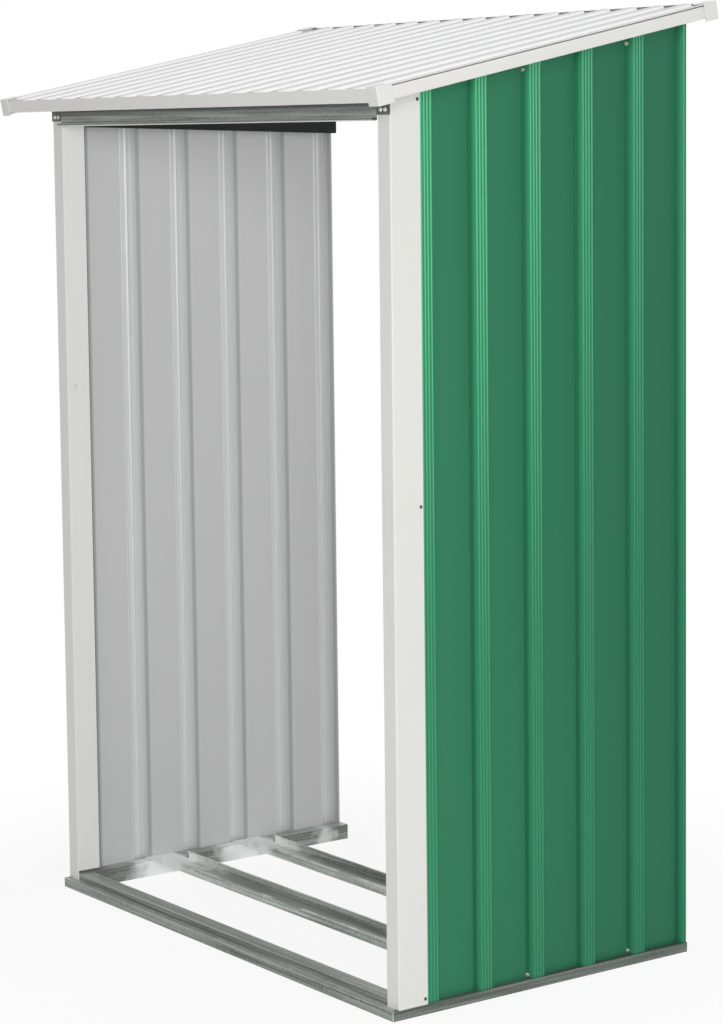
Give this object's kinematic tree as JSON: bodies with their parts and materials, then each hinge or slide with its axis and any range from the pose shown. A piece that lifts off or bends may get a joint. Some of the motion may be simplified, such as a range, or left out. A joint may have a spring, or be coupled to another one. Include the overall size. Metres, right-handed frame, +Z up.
{
  "type": "log store",
  "caption": "Narrow flat-pack sheet-steel log store, open at front and back: ribbed side walls, stepped base frame with log rails, front posts and a ribbed mono-pitch roof sloping to the front.",
  "frame": {"origin": "centre of the store's plan at ground level, under the roof's box", "axes": "+X to the right across the opening seen from the front, +Y from the open front to the back, +Z up"},
  "size_m": [1.2208, 0.734, 1.6878],
  "materials": {
    "galvanised": "galvanised, dull with bright streaks",
    "post_white": "satin off-white coil coating",
    "wall_green": "satin mid-green coil coating, pale grey on the inside",
    "dark_rail": "satin near-black",
    "roof_white": "satin white coil coating",
    "trim_white": "satin off-white coil coating",
    "cap_plastic": "matt off-white moulding"
  },
  "bodies": {
    "root": {"base_rail_front": "galvanised", "base_rail_left": "galvanised", "base_rail_right": "galvanised", "log_rail_front": "galvanised", "log_rail_rear": "galvanised", "front_post_left": "post_white", "front_post_right": "post_white", "left_wall": "wall_green", "right_wall": "wall_green", "header_front": "galvanised", "header_rear": "galvanised", "wall_rail_left": "dark_rail", "wall_rail_right": "dark_rail", "roof_bearer_left": "galvanised", "roof_bearer_right": "galvanised", "roof_sheet_left": "roof_white", "roof_sheet_middle": "roof_white", "roof_sheet_right": "roof_white", "roof_trim_left": "trim_white", "roof_trim_right": "trim_white", "fascia_front": "trim_white", "fascia_rear": "trim_white", "corner_cap_front_left": "cap_plastic", "corner_cap_front_right": "cap_plastic", "corner_cap_rear_left": "cap_plastic", "corner_cap_rear_right": "cap_plastic"}
  },
  "joints": []
}
